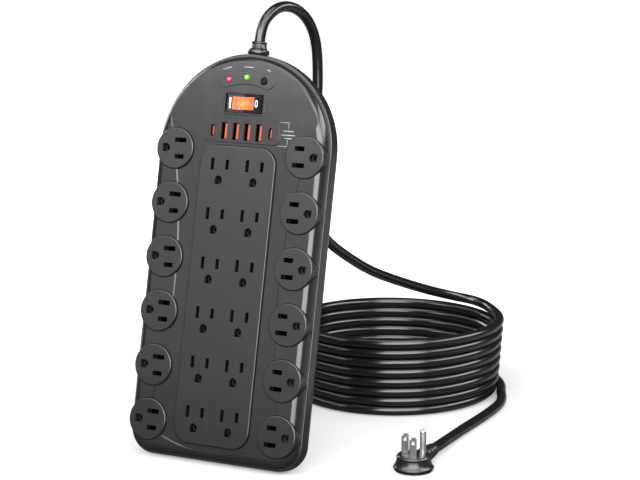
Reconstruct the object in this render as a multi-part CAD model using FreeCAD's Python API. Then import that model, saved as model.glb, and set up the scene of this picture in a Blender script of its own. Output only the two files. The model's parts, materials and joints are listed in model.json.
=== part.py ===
"""Large wall-mount surge protector: 24 outlets, 6 USB ports, coiled power cord and flat plug.

Lengths are in millimetres.  The case is drawn in its own case frame, with x to the right, y up the
case and z out of its front face, where z = 0 is the face of the outlet panel.  place() then stands
it on its lower end, leaning back, in the part's frame: X right, Y to the rear, Z up, with the origin
on the floor under the middle of the case.
"""
import FreeCAD, Part
import math
import os

V = FreeCAD.Vector

# ---- stance ----
LEAN = 12.93                    # degrees the case leans back
CASE_MIDDLE_Y = 19.84           # brings the origin midway between the case's front and rear

# ---- case outline ----
HALF_WIDTH = 74.0
ARCH_Y = 107.0                  # centre of the round upper end
BOTTOM_Y = -131.4
CORNER_R = 20.0                 # lower corners
BACK_Z = -28.7
BACK_EDGE_R = 12.0
RIM_Z = -8.6                    # where the front cover meets the rear cover
LEDGE = 2.3                     # width of the rear cover's rim outside the front cover
FACE_Z = -1.3                   # outer band of the front cover
FIELD_Z = -2.0                  # sunk field between the side columns
SHOULDER_R = 6.6
REAR_WALL = 2.5
COVER_WALL = 2.4
RIM_INSET = 5.5                 # inner edge of both covers where they meet
RIM_DEPTH = 3.0
RIM_EDGE_R = 0.6
CUT = 1.0                       # how far a cut runs past the face it opens
SEAM = 0.12                     # gap round each small panel that is set in the cover
OUTLET_SEAM = 0.4               # gap round the outlet panel and the round outlets
OUTLET_EDGE_R = 0.8             # round edge of those faces

# ---- sunk field of the front cover ----
FIELD_SIDE_R = 450.0
FIELD_SIDE_X = 44.4             # half-width of the field at its waist
FIELD_SIDE_Y = 2.0
FIELD_FOOT_R = 115.0
FIELD_FOOT_Y = -124.0
FIELD_FOOT_END = (58.2, -108.2)
FIELD_BEVEL = 0.8
FIELD_TOP = 150.0               # the bowed sides end here; the field stays open above
FIELD_OPEN = 190.0

# ---- outlets ----
BLADE_SPACING = 12.7
GROUND_DROP = 11.95
MID_SLOT_WIDTH = 2.9
MID_SLOT_LENGTHS = (9.1, 7.5)   # neutral, hot
SIDE_SLOT_WIDTH = 3.6
SIDE_SLOT_LENGTHS = (10.1, 8.1)
GROUND_HOLE = (6.1, 6.6)
ROWS = 6
MID_COLUMN_X = 15.0
MID_PITCH = 37.92
SIDE_COLUMN_X = 56.0
SIDE_SLOT_X = 51.5
SIDE_TOP_Y = 104.7
SIDE_PITCH = 41.94
SIDE_R = 16.05
SIDE_FACE_Z = -0.1
FACE_THICK = 3.2
CUP_WALL = 2.0
SIDE_FLANGE = 1.4
FLANGE_GAP = 0.3                # between a round outlet's flange and the rim

# ---- outlet panel, USB panel ----
PANEL = (-32.5, -119.0, 32.5, 109.5)
PANEL_R = 14.0
PANEL_FLANGE = 1.0
USB_PANEL = (-32.7, 112.0, 32.7, 129.8)
USB_PANEL_R = 4.0
USB_FACE_Z = -1.4
USB_FLANGE = 0.9
FLANGE_TOP = FIELD_Z - COVER_WALL - 0.05
FLANGE_THICK = 1.4
USB_ROW_Y = 120.6
USB_A_X = (-14.9, -4.95, 4.95, 14.9)
USB_C_X = (-25.0, 25.0)
USB_A_PORT = (5.0, 13.0)
USB_C_PORT = (3.2, 9.0)
USB_A_CORNER = 0.4
USB_C_CORNER = 1.55
USB_WALL = 1.6
USB_FACE_THICK = 2.0
SHELL_GAP = 0.1                 # between a port and its metal shell
SHELL_SHEET = 0.35
TONGUE_BASE = 3.0
TONGUE_TOP = -2.6
USB_A_TONGUE = (2.1, 11.6)
USB_A_TONGUE_SHIFT = 1.15
USB_C_TONGUE = (1.0, 6.7)
PANEL_EDGE_R = 0.3              # round edge of the small panels
USB_BOARD_Z = -15.5
BOARD_THICK = 1.6
USB_BOARD = (-37.0, 109.0, 37.0, 131.0)
USB_BOARD_POSTS = ((33.0, 111.5), (33.0, 128.0))
USB_BOARD_POST_R = 2.2
TRANSFORMER = (-9.0, 113.0, 5.0, 127.0)
TRANSFORMER_HEIGHT = 8.0
TRANSFORMER_EDGE_R = 0.8

# ---- bus bars ----
BAR_TOP = -9.6
BAR_THICK = 0.8
CLIP_TOP = -4.6
LEAF = 0.5                      # thickness of a spring leaf
LEAF_GAP = 0.75                 # from a blade's middle to a leaf's middle face
LEAF_HALF = 3.2
LEAF_DROP = 2.6                 # how far the leaves end below the ground clips
GROUND_CLIP_R = 2.8
GROUND_CLIP_BORE_R = 2.15
MID_BAR_Y = (-112.0, 104.0)
MID_BAR_HALF = {"hot": 2.6, "neutral": 2.6, "ground": 2.3}
SIDE_BAR_X = {"hot": (45.2, 48.2), "neutral": (55.0, 58.0), "ground": (61.2, 65.7)}
SIDE_BAR_PAST = 9.0             # how far a side bar runs past its end outlets
SIDE_TABS = {"hot": (45.2, 54.7, 6.35), "neutral": (48.6, 58.0, -6.35)}
TAB_HALF = 2.4
CARRIER_THICK = 2.0
CARRIER_MID = (43.0, -114.5, 107.0)     # half-width, lower and upper end
CARRIER_SIDE = (67.5, -114.5, 115.0)
CARRIER_POSTS = ((25, 100), (25, 20), (25, -104), (55, 84), (55, 0), (55, -84))
CARRIER_POST_R = 2.5
CARRIER_HOLE_GAP = 0.4

# ---- rocker switch ----
SWITCH_Y = 142.3
SWITCH_FLANGE = (36.6, 18.0)
SWITCH_BODY = (34.4, 16.5)
SWITCH_OPENING = (32.5, 14.6)
SWITCH_FACE_Z = -1.35
SWITCH_FLOOR_Z = -18.0
SWITCH_FLANGE_R = 1.4
SWITCH_BODY_R = 0.8
SWITCH_OPENING_R = 0.5
SWITCH_FLOOR = 2.0
SWITCH_CUTOUT_R = 1.0
PIVOT_Z = -7.0
PIVOT_R = 1.5
PIVOT_CLEARANCE = 0.05
ROCKER_R = 15.9                 # end faces are round about the pivot
ROCKER_DEPTH = 13.9
ROCKER_HORN = 6.4               # height above the pivot of the rocker's two top edges
ROCKER_DIP = 4.9                # and of the shallow vee between them
ROCKER_MID = 2.5
ROCKER_LOW = -1.5
ROCKER_KEEL = (5.0, -4.5)
PIN_SHORT = 0.1                 # the pin ends this far inside the housing
ROCKER_TILT = 7.0               # degrees each way; it rests with its left end pressed in
LENS = (20.0, 9.8)
LENS_FLOOR = 1.8                # above the pivot, clear of the pin
LENS_GAP = 0.05
LENS_LIFT = 0.35                # how far the lens stands proud of the rocker
LENS_OPEN = 3.0
LAMP_R = 1.6
LAMP_LENGTH = 9.0
LAMP_DROP = 7.0                 # below the pivot
LAMP_EDGE_R = 0.7
TERMINAL_X = (-11.0, 0.0, 11.0)
TERMINAL = (0.8, 6.3, 7.0)

# ---- indicator panel ----
ARC_Y = 109.1
ARC_R = 53.1
ARC_HALF = 5.3
ARC_END = 20.2                  # degrees from the middle to each round end
ARC_STEP = 16.6                 # degrees between a lamp and the next
INDICATOR_FACE_Z = -1.4
LED_R = 2.45
LED_HOLE_GAP = 0.15
LED_DOME_Z = -2.1
LED_FOOT_R = 2.9
LED_FOOT = 1.0
BUTTON_R = 2.3
BUTTON_EDGE_R = 0.5
BUTTON_FLANGE_R = 3.0
BUTTON_HOLE_R = 2.6
BUTTON_TOP = -0.7
BUTTON_FLANGE_TOP = -4.75
BUTTON_FLANGE_BOTTOM = -5.6
PLUNGER_R = 1.65
PLUNGER_LOW = -8.7
PLUNGER_GAP = 0.3
TACT_HALF = 3.0
TACT_TOP = -6.9
INDICATOR_BOARD_Z = -10.0
INDICATOR_BOARD = (-21.0, 152.5, 21.0, 166.5)

# ---- surge board ----
SURGE_BOARD_Z = -17.0
SURGE_BOARD = (-28.0, -70.0, 28.0, 0.0)
SURGE_POSTS = ((24.0, -66.0), (24.0, -4.0))
SURGE_POST_R = 2.4
VARISTORS = ((-10.0, -56.0), (-10.0, -35.0), (-10.0, -14.0))
VARISTOR_R = 7.2
VARISTOR_THICK = 4.6
VARISTOR_EDGE_R = 1.2
FUSE_X = 10.0
FUSE_BARREL = (2.0, -41.0, 12.0)        # radius, start, length
FUSE_LEADS = (0.45, -47.0, 24.0)

# ---- screws, keyholes ----
SCREWS = ((54.0, 136.0), (38.3, 83.75), (38.3, -0.15), (38.3, -84.05), (38.3, -120.0))
POST_R = 3.6
POST_SPLIT_Z = -9.2
SCREW_HOLE_R = 1.3
SCREW_HEAD_R = 2.8
SCREW_HEAD = (0.8, 2.75)        # its two faces, above the back
SCREW_CROSS = (1.9, 0.35, 1.0)  # half-length, half-width and depth of the cross
SCREW_SLACK = 0.03
SCREW_END = 1.0                 # the tip's distance behind the field
HEAD_SEAT = 2.8
HEAD_GAP = 0.2
SCREW_PASS_R = 1.6
POST_JOIN = 0.5                 # posts run this far into the wall they stand on
POST_TAPER = 0.3
KEYHOLES = (93.0, -97.0)
KEYHOLE_R = 4.2
KEYHOLE_SLOT_R = 2.1
KEYHOLE_SLOT = 9.0

# ---- cord ----
CORD_R = 4.1
STRAIN_Z = -16.0                # case-frame height of the cord's exit
STRAIN_TOP = 191.5
STRAIN_BORE = (7.0, 170.0, 20.0)        # radius, start, length
STRAIN_PROFILE = ((8.2, 166.5), (8.2, 173.4), (6.9, 173.4), (6.9, 181.4), (8.0, 181.6),
                  (8.3, 182.2), (8.3, 184.4), (7.8, 185.2), (6.4, 185.6), (5.5, 189.4),
                  (5.9, 189.8), (5.9, 191.1), (5.5, STRAIN_TOP))
ARC_SHARE = 0.45                # share of the shorter run that a bend takes
COIL_CENTRE = (35.0, 221.0)
COIL_R = 88.5                   # of the topmost turn's centreline
COIL_LOW_R = 84.2               # and of the lowest
COIL_TURN = 24.5                # degrees from X to where the lead joins and the tail leaves
COIL_TOP = 68.7
COIL_SKIRT = 6.4                # the last half turn lies beside the stack, on the floor
COIL_SLACK = 0.1
EXIT_RUN = 12.0

# The lead after the exit: over the top, down behind the case and on to the coil.
LEAD = (
    (3.5, 50.1, 336.8), (7.2, 61.8, 341.4), (11.6, 76.7, 339.0), (16.0, 90.0, 328.8),
    (18.6, 98.4, 311.5), (19.2, 100.0, 285.0), (19.6, 96.5, 252.0), (21.0, 89.0, 218.0),
    (23.0, 83.5, 188.0), (24.5, 88.5, 165.5), (26.0, 105.0, 149.0), (28.8, 133.0, 133.0),
    (33.2, 170.0, 114.0), (38.0, 212.0, 98.5), (45.0, 251.0, 84.5), (57.5, 284.0, 73.0),
    (78.5, 299.5, 67.0),
)
# The tail: off the lowest turn and straight to the plug's collar.
TAIL = (
    (124.0, 240.0, 4.2), (132.5, 222.0, 4.2), (138.5, 200.0, 4.2), (140.0, 162.0, 4.2),
    (139.0, 124.0, 4.2), (139.4, 94.0, 4.3), (142.3, 69.4, 6.4), (142.3, 51.4, 6.4),
)

# ---- plug ----
PLUG_XY = (142.3, 15.4)
PLUG_HEIGHT = 12.7
PLUG_GROUND_TURN = 52.0         # degrees from X to the ground pin's side
PLUG_AXIS_Z = 6.4
PLUG_BOSS = 21.0
COLLAR_END = 36.0
BLADE = (5.4, 1.5, 14.8)
BLADE_ROOT = 4.0
BLADE_BEVEL = 1.1
BLADE_HOLE = (1.6, 4.3)         # radius, distance from the tip
BLADE_LINE = 4.0                # from the plug's axis to the blades' line
BOSS_R = 5.9
COLLAR_R = (6.3, 5.0)
FOOT_R = 13.4
SKIRT_BULGE = (15.1, 1.4)       # radius, height
SKIRT_TOP = (15.6, 3.3)
WAIST = (13.6, 7.0)
CROWN = (12.5, 11.6)
CROWN_ARC = (12.15, 12.4)
TOP_R = 11.4
GROUND_PIN_R = 2.4
GROUND_PIN_ROOT_R = 1.8
GROUND_PIN_TIP = 1.9
GROUND_PIN_LENGTH = 18.4

# ---------------------------------------------------------------------------- helpers


def save(node, shape):
    """Write one node's STEP file."""
    if not shape.isValid():
        print("INVALID", node)
    shape.exportStep("parts/" + node + ".step")
    print("%-22s solids %2d  volume %10.1f" % (node, len(shape.Solids), shape.Volume))


def foot_height():
    """How far the case's lowest point lies under the case frame's origin."""
    y = BOTTOM_Y + BACK_EDGE_R
    z = BACK_Z + BACK_EDGE_R
    lean = math.radians(LEAN)
    return BACK_EDGE_R - y * math.cos(lean) - z * math.sin(lean)


CASE_TURN = FreeCAD.Rotation(V(1, 0, 0), 90.0 - LEAN)
CASE_PLACE = FreeCAD.Placement(V(0, -CASE_MIDDLE_Y, foot_height()), CASE_TURN)


def place(shape):
    """Stand a case-frame shape up, leaning back, in the part's frame."""
    moved = shape.copy()
    moved.Placement = CASE_PLACE.multiply(moved.Placement)
    return moved


def extrude(wire, z_low, z_high):
    """A prism between two levels over a wire drawn at z = 0."""
    solid = Part.Face(wire).extrude(V(0, 0, z_high - z_low))
    solid.translate(V(0, 0, z_low))
    return solid


def box(x0, y0, z0, x1, y1, z1):
    return Part.makeBox(x1 - x0, y1 - y0, z1 - z0, V(x0, y0, z0))


def post(x, y, z0, z1, radius):
    return Part.makeCylinder(radius, z1 - z0, V(x, y, z0))


def line(a, b):
    return Part.LineSegment(V(a[0], a[1], 0), V(b[0], b[1], 0)).toShape()


def arc(a, middle, b):
    return Part.Arc(V(a[0], a[1], 0), V(middle[0], middle[1], 0), V(b[0], b[1], 0)).toShape()


def rounded(x0, y0, x1, y1, radius):
    """A rectangle with round corners."""
    edges = []
    corners = ((x1 - radius, y1 - radius, 0), (x0 + radius, y1 - radius, 90),
               (x0 + radius, y0 + radius, 180), (x1 - radius, y0 + radius, 270))
    ends = []
    for cx, cy, start in corners:
        at = [(cx + radius * math.cos(math.radians(start + t)),
               cy + radius * math.sin(math.radians(start + t))) for t in (0, 45, 90)]
        if ends:
            edges.append(line(ends[-1], at[0]))
        edges.append(arc(*at))
        ends += [at[0], at[2]]
    edges.append(line(ends[-1], ends[0]))
    return Part.Wire(Part.__sortEdges__(edges))


def centred(cx, cy, width, height, radius):
    return rounded(cx - width / 2, cy - height / 2, cx + width / 2, cy + height / 2, radius)


def outline(inset):
    """The case's outline, moved inwards by inset."""
    w = HALF_WIDTH - inset
    r = CORNER_R - inset
    low = BOTTOM_Y + inset
    k = r * math.sqrt(0.5)
    edges = [
        line((w, low + r), (w, ARCH_Y)),
        arc((w, ARCH_Y), (0, ARCH_Y + w), (-w, ARCH_Y)),
        line((-w, ARCH_Y), (-w, low + r)),
        arc((-w, low + r), (-w + r - k, low + r - k), (-w + r, low)),
        line((-w + r, low), (w - r, low)),
        arc((w - r, low), (w - r + k, low + r - k), (w, low + r)),
    ]
    return Part.Wire(edges)


def edges_at(shape, z):
    """Edges that lie wholly at one level."""
    box_of = [(e, e.BoundBox) for e in shape.Edges]
    return [e for e, b in box_of if abs(b.ZMin - z) < 1e-4 and abs(b.ZMax - z) < 1e-4]


def side_rows():
    return [SIDE_TOP_Y - SIDE_PITCH * i for i in range(ROWS)]


def mid_rows():
    return [MID_PITCH * (ROWS / 2 - 0.5 - i) for i in range(ROWS)]


# ---------------------------------------------------------------------------- outlets


def outlet_holes(x, y, turn, width, lengths):
    """Two blade slots and a ground hole; (x, y) is midway between the slots."""
    top = CUT
    low = -FACE_THICK - CUT
    half = BLADE_SPACING / 2
    nh, hh = lengths
    gw, gh = GROUND_HOLE
    g = -GROUND_DROP
    cuts = [
        box(-half - width / 2, -nh / 2, low, -half + width / 2, nh / 2, top),
        box(half - width / 2, -hh / 2, low, half + width / 2, hh / 2, top),
    ]
    arch_y = g + gh / 2 - gw / 2
    wire = Part.Wire([
        line((-gw / 2, g - gh / 2), (gw / 2, g - gh / 2)),
        line((gw / 2, g - gh / 2), (gw / 2, arch_y)),
        arc((gw / 2, arch_y), (0, g + gh / 2), (-gw / 2, arch_y)),
        line((-gw / 2, arch_y), (-gw / 2, g - gh / 2)),
    ])
    cuts.append(extrude(wire, low, top))
    for cut in cuts:
        cut.rotate(V(0, 0, 0), V(0, 0, 1), turn)
        cut.translate(V(x, y, 0))
    return cuts


def clips(kind, turn, x, y):
    """The spring contact behind one hole, standing on its bus bar."""
    half = BLADE_SPACING / 2
    if kind == "ground":
        shape = post(0, -GROUND_DROP, BAR_TOP, CLIP_TOP, GROUND_CLIP_R)
        shape = shape.cut(post(0, -GROUND_DROP, BAR_TOP, CLIP_TOP + CUT, GROUND_CLIP_BORE_R))
    else:
        side = half if kind == "hot" else -half
        leaf_top = CLIP_TOP - LEAF_DROP
        near = side - LEAF_GAP
        far = side + LEAF_GAP
        shape = box(near - LEAF, -LEAF_HALF, BAR_TOP, near, LEAF_HALF, leaf_top)
        shape = shape.fuse(box(far, -LEAF_HALF, BAR_TOP, far + LEAF, LEAF_HALF, leaf_top))
    shape.rotate(V(0, 0, 0), V(0, 0, 1), turn)
    shape.translate(V(x, y, 0))
    return shape


def side_outlet(side, y):
    """A round outlet face with its cup, open at the back."""
    x = side * SIDE_COLUMN_X
    cup = post(x, y, RIM_Z, SIDE_FACE_Z, SIDE_R)
    crown = [e for e in edges_at(cup, SIDE_FACE_Z)]
    cup = cup.makeFillet(OUTLET_EDGE_R, crown)
    flange = post(x, y, FLANGE_TOP - FLANGE_THICK, FLANGE_TOP, SIDE_R + SIDE_FLANGE)
    flange = flange.common(extrude(outline(RIM_INSET + FLANGE_GAP), RIM_Z, 0))
    cup = cup.fuse(flange).removeSplitter()
    cup = cup.cut(post(x, y, RIM_Z - CUT, SIDE_FACE_Z - FACE_THICK, SIDE_R - CUP_WALL))
    turn = 90.0 * side
    return cup.cut(outlet_holes(side * SIDE_SLOT_X, y, turn, SIDE_SLOT_WIDTH, SIDE_SLOT_LENGTHS))


def outlet_panel():
    """The raised middle panel: one face with twelve upright outlets."""
    x0, y0, x1, y1 = PANEL
    low = FLANGE_TOP - FLANGE_THICK
    body = extrude(rounded(x0, y0, x1, y1, PANEL_R), low, 0.0)
    body = body.makeFillet(OUTLET_EDGE_R, edges_at(body, 0.0))
    f = PANEL_FLANGE
    flange = extrude(rounded(x0 - f, y0 - f, x1 + f, y1 + f, PANEL_R + f), low, FLANGE_TOP)
    body = body.fuse(flange).removeSplitter()
    t = CUP_WALL
    pocket = extrude(rounded(x0 + t, y0 + t, x1 - t, y1 - t, PANEL_R - t), low - CUT, -FACE_THICK)
    body = body.cut(pocket)
    for x in (-MID_COLUMN_X, MID_COLUMN_X):
        for y in mid_rows():
            body = body.cut(outlet_holes(x, y, 0.0, MID_SLOT_WIDTH, MID_SLOT_LENGTHS))
    return body


def bus_bar(column, kind):
    """One brass strip with its clips; column is left, mid_left, mid_right or right."""
    low = BAR_TOP - BAR_THICK
    if column.startswith("mid"):
        x = -MID_COLUMN_X if column == "mid_left" else MID_COLUMN_X
        centre = {"neutral": x - BLADE_SPACING / 2, "ground": x, "hot": x + BLADE_SPACING / 2}[kind]
        half = MID_BAR_HALF[kind]
        bar = box(centre - half, MID_BAR_Y[0], low, centre + half, MID_BAR_Y[1], BAR_TOP)
        pieces = [clips(kind, 0.0, x, y) for y in mid_rows()]
        return bar.fuse(pieces).removeSplitter()
    x0, x1 = SIDE_BAR_X[kind]
    bar = box(x0, side_rows()[-1] - SIDE_BAR_PAST, low, x1, side_rows()[0] + SIDE_BAR_PAST, BAR_TOP)
    pieces = []
    for y in side_rows():
        pieces.append(clips(kind, 90.0, SIDE_SLOT_X, y))
        if kind in SIDE_TABS:
            t0, t1, dy = SIDE_TABS[kind]
            pieces.append(box(t0, y + dy - TAB_HALF, low, t1, y + dy + TAB_HALF, BAR_TOP))
    bar = bar.fuse(pieces).removeSplitter()
    if column == "left":
        middle = (side_rows()[0] + side_rows()[-1]) / 2
        bar.rotate(V(0, middle, 0), V(0, 0, 1), 180.0)
    return bar


def bus_carrier():
    """The insulating plate that the bus bars lie on, on posts from the rear cover."""
    top = BAR_TOP - BAR_THICK
    low = top - CARRIER_THICK
    inner, y0, y1 = CARRIER_MID
    outer, v0, v1 = CARRIER_SIDE
    plate = box(-inner, y0, low, inner, y1, top)
    wings = [box(-outer, v0, low, -inner, v1, top), box(inner, v0, low, outer, v1, top)]
    plate = plate.fuse(wings).removeSplitter()
    floor = BACK_Z + REAR_WALL
    posts = [post(s * x, y, floor, low, CARRIER_POST_R) for s in (-1, 1) for x, y in CARRIER_POSTS]
    plate = plate.fuse(posts)
    hole_r = POST_R + CARRIER_HOLE_GAP
    holes = [post(s * x, y, low - CUT, top + CUT, hole_r) for s in (-1, 1) for x, y in SCREWS[1:4]]
    return plate.cut(holes)


# ---------------------------------------------------------------------------- case


def field_wire(grow):
    """The sunk field: bowed sides, a shallow curved foot, open past the arch at the top."""
    r = FIELD_SIDE_R - grow
    cx = FIELD_SIDE_X + FIELD_SIDE_R
    foot_r = FIELD_FOOT_R + grow
    foot_c = FIELD_FOOT_Y + FIELD_FOOT_R
    fx = FIELD_FOOT_END[0] + grow
    fy = foot_c - math.sqrt(foot_r ** 2 - fx ** 2)
    top = FIELD_TOP
    side = cx - math.sqrt(r ** 2 - (top - FIELD_SIDE_Y) ** 2)
    waist = cx - r
    edges = [
        arc((-fx, fy), (0, foot_c - foot_r), (fx, fy)),
        arc((fx, fy), (waist, FIELD_SIDE_Y), (side, top)),
        line((side, top), (side, FIELD_OPEN)),
        line((side, FIELD_OPEN), (-side, FIELD_OPEN)),
        line((-side, FIELD_OPEN), (-side, top)),
        arc((-side, top), (-waist, FIELD_SIDE_Y), (-fx, fy)),
    ]
    return Part.Wire(edges)


def indicator_wire(grow):
    """A bent slot with round ends, concentric with the arch."""
    r_out = ARC_R + ARC_HALF + grow
    r_in = ARC_R - ARC_HALF - grow
    end = math.radians(ARC_END)
    cap = ARC_HALF + grow

    def at(radius, angle):
        return (radius * math.sin(angle), ARC_Y + radius * math.cos(angle))

    def cap_tip(sign):
        x, y = at(ARC_R, sign * end)
        return (x + sign * cap * math.cos(end), y - cap * math.sin(end))

    return Part.Wire([
        arc(at(r_out, -end), at(r_out, 0), at(r_out, end)),
        arc(at(r_out, end), cap_tip(1), at(r_in, end)),
        arc(at(r_in, end), at(r_in, 0), at(r_in, -end)),
        arc(at(r_in, -end), cap_tip(-1), at(r_out, -end)),
    ])


def lamp_spots():
    """Centres of the left lamp, the middle lamp and the button."""
    spots = []
    for step in (-1, 0, 1):
        angle = math.radians(step * ARC_STEP)
        spots.append((ARC_R * math.sin(angle), ARC_Y + ARC_R * math.cos(angle)))
    return spots


def front_cover():
    """The front shell: round shoulder, sunk field, openings for every panel, screw posts."""
    shell = extrude(outline(LEDGE), RIM_Z, FACE_Z)
    shell = shell.makeFillet(SHOULDER_R, edges_at(shell, FACE_Z))
    low = Part.Wire(field_wire(0.0).Edges)
    low.translate(V(0, 0, FIELD_Z))
    high = field_wire(FIELD_BEVEL * CUT / (FACE_Z - FIELD_Z))
    high.translate(V(0, 0, FIELD_Z + CUT))
    shell = shell.cut(Part.makeLoft([low, high], True, True))
    under = FIELD_Z - COVER_WALL
    shell = shell.cut(extrude(outline(RIM_INSET), RIM_Z - CUT, under))
    post_r = POST_R - POST_TAPER
    posts = [post(s * x, y, POST_SPLIT_Z, under + POST_JOIN, post_r) for s in (-1, 1) for x, y in SCREWS]
    shell = shell.fuse(posts)
    g = SEAM
    wide = OUTLET_SEAM
    x0, y0, x1, y1 = PANEL
    u0, v0, u1, v1 = USB_PANEL
    sw, sh = SWITCH_BODY
    cuts = [
        extrude(rounded(x0 - wide, y0 - wide, x1 + wide, y1 + wide, PANEL_R + wide), under - CUT, CUT),
        extrude(rounded(u0 - g, v0 - g, u1 + g, v1 + g, USB_PANEL_R + g), under - CUT, CUT),
        extrude(centred(0, SWITCH_Y, sw + 2 * g, sh + 2 * g, SWITCH_CUTOUT_R), under - CUT, CUT),
        extrude(indicator_wire(g), under - CUT, CUT),
    ]
    for s in (-1, 1):
        cuts += [post(s * SIDE_COLUMN_X, y, RIM_Z - CUT, CUT, SIDE_R + wide) for y in side_rows()]
        cuts += [post(s * x, y, POST_SPLIT_Z - CUT, under - POST_TAPER, SCREW_HOLE_R) for x, y in SCREWS]
    return shell.cut(cuts)


def rear_cover():
    """The rear shell: round back edge, rim, screw posts, board posts, keyholes, cord outlet."""
    floor = BACK_Z + REAR_WALL
    shell = extrude(outline(0.0), BACK_Z, RIM_Z)
    shell = shell.makeFillet(BACK_EDGE_R, edges_at(shell, BACK_Z))
    shell = shell.makeFillet(RIM_EDGE_R, edges_at(shell, RIM_Z))
    cavity = extrude(outline(REAR_WALL), floor, RIM_Z - RIM_DEPTH)
    cavity = cavity.makeFillet(BACK_EDGE_R - REAR_WALL, edges_at(cavity, floor))
    shell = shell.cut(cavity)
    shell = shell.cut(extrude(outline(RIM_INSET), RIM_Z - RIM_DEPTH - SEAM, RIM_Z + CUT))
    root = floor - POST_JOIN
    surge_z = SURGE_BOARD_Z - BOARD_THICK
    usb_z = USB_BOARD_Z - BOARD_THICK
    pillars = []
    for s in (-1, 1):
        pillars += [post(s * x, y, root, POST_SPLIT_Z, POST_R) for x, y in SCREWS]
        pillars += [post(s * x, y, root, surge_z, SURGE_POST_R) for x, y in SURGE_POSTS]
        pillars += [post(s * x, y, root, usb_z, USB_BOARD_POST_R) for x, y in USB_BOARD_POSTS]
    shell = shell.fuse(pillars)
    cuts = []
    for s in (-1, 1):
        for x, y in SCREWS:
            cuts.append(post(s * x, y, BACK_Z - CUT, POST_SPLIT_Z + CUT, SCREW_PASS_R))
            cuts.append(post(s * x, y, BACK_Z - CUT, BACK_Z + HEAD_SEAT, SCREW_HEAD_R + HEAD_GAP))
    for y in KEYHOLES:
        cuts.append(post(0, y, BACK_Z - CUT, floor + CUT, KEYHOLE_R))
        cuts.append(box(-KEYHOLE_SLOT_R, y, BACK_Z - CUT, KEYHOLE_SLOT_R, y + KEYHOLE_SLOT, floor + CUT))
        cuts.append(post(0, y + KEYHOLE_SLOT, BACK_Z - CUT, floor + CUT, KEYHOLE_SLOT_R))
    radius, start, length = STRAIN_BORE
    cuts.append(Part.makeCylinder(radius, length, V(0, start, STRAIN_Z), V(0, 1, 0)))
    return shell.cut(cuts)


def case_screws():
    """Self-tapping screws from the back, two columns of five."""
    low = BACK_Z + SCREW_HEAD[0]
    high = BACK_Z + SCREW_HEAD[1]
    reach, half, depth = SCREW_CROSS
    tip = FIELD_Z - COVER_WALL - SCREW_END
    screws = []
    for s in (-1, 1):
        for x, y in SCREWS:
            head = post(s * x, y, low, high, SCREW_HEAD_R)
            cross = box(-reach, -half, low - CUT, reach, half, low + depth)
            cross = cross.fuse(box(-half, -reach, low - CUT, half, reach, low + depth))
            cross.translate(V(s * x, y, 0))
            shank = post(s * x, y, low + depth, tip, SCREW_HOLE_R - SCREW_SLACK)
            screws.append(head.fuse(shank).cut(cross).removeSplitter())
    return Part.makeCompound(screws)


# ---------------------------------------------------------------------------- switch


def switch_housing():
    """The snap-in switch body: a flange on the cover, a deep cup and two pivot bores."""
    fw, fh = SWITCH_FLANGE
    bw, bh = SWITCH_BODY
    ow, oh = SWITCH_OPENING
    flange = extrude(centred(0, SWITCH_Y, fw, fh, SWITCH_FLANGE_R), FIELD_Z, SWITCH_FACE_Z)
    flange = flange.makeFillet(PANEL_EDGE_R, edges_at(flange, SWITCH_FACE_Z))
    body = extrude(centred(0, SWITCH_Y, bw, bh, SWITCH_BODY_R), SWITCH_FLOOR_Z, FIELD_Z)
    shape = flange.fuse(body).removeSplitter()
    floor = SWITCH_FLOOR_Z + SWITCH_FLOOR
    shape = shape.cut(extrude(centred(0, SWITCH_Y, ow, oh, SWITCH_OPENING_R), floor, CUT))
    start = V(0, SWITCH_Y - bh / 2 - CUT, PIVOT_Z)
    return shape.cut(Part.makeCylinder(PIVOT_R + PIVOT_CLEARANCE, bh + 2 * CUT, start, V(0, 1, 0)))


def rocker_section():
    """End view of the rocker, level, about its pivot: a shallow vee between round ends."""
    top = ROCKER_HORN
    low = ROCKER_LOW
    xt = math.sqrt(ROCKER_R ** 2 - top ** 2)
    xl = math.sqrt(ROCKER_R ** 2 - low ** 2)
    xm = math.sqrt(ROCKER_R ** 2 - ROCKER_MID ** 2)
    xk, keel = ROCKER_KEEL

    def at(x, z):
        return V(x, 0, z)

    def seg(a, b):
        return Part.LineSegment(a, b).toShape()

    edges = [
        seg(at(-xt, top), at(0, ROCKER_DIP)),
        seg(at(0, ROCKER_DIP), at(xt, top)),
        Part.Arc(at(xt, top), at(xm, ROCKER_MID), at(xl, low)).toShape(),
        seg(at(xl, low), at(xk, keel)),
        seg(at(xk, keel), at(-xk, keel)),
        seg(at(-xk, keel), at(-xl, low)),
        Part.Arc(at(-xl, low), at(-xm, ROCKER_MID), at(-xt, top)).toShape(),
    ]
    return Part.Face(Part.Wire(edges))


def lens_pocket(gap, lift):
    """The window through the rocker's top; lift raises its vee above the rocker's."""
    lw, lh = LENS
    x = lw / 2 + gap

    def at(px, pz):
        return V(px, 0, pz)

    rise = (ROCKER_HORN - ROCKER_DIP) / math.sqrt(ROCKER_R ** 2 - ROCKER_HORN ** 2)
    low = LENS_FLOOR - gap
    dip = ROCKER_DIP + lift
    points = [at(-x, low), at(x, low), at(x, dip + rise * x), at(0, dip), at(-x, dip + rise * x)]
    face = Part.Face(Part.makePolygon(points + points[:1]))
    solid = face.extrude(V(0, lh + 2 * gap, 0))
    solid.translate(V(0, -lh / 2 - gap, 0))
    return solid


def seat_rocker(shape):
    """Tilt a pivot-frame shape to its rest position and put it in the switch."""
    shape.rotate(V(0, 0, 0), V(0, 1, 0), -ROCKER_TILT)
    shape.translate(V(0, SWITCH_Y, PIVOT_Z))
    return shape


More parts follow.
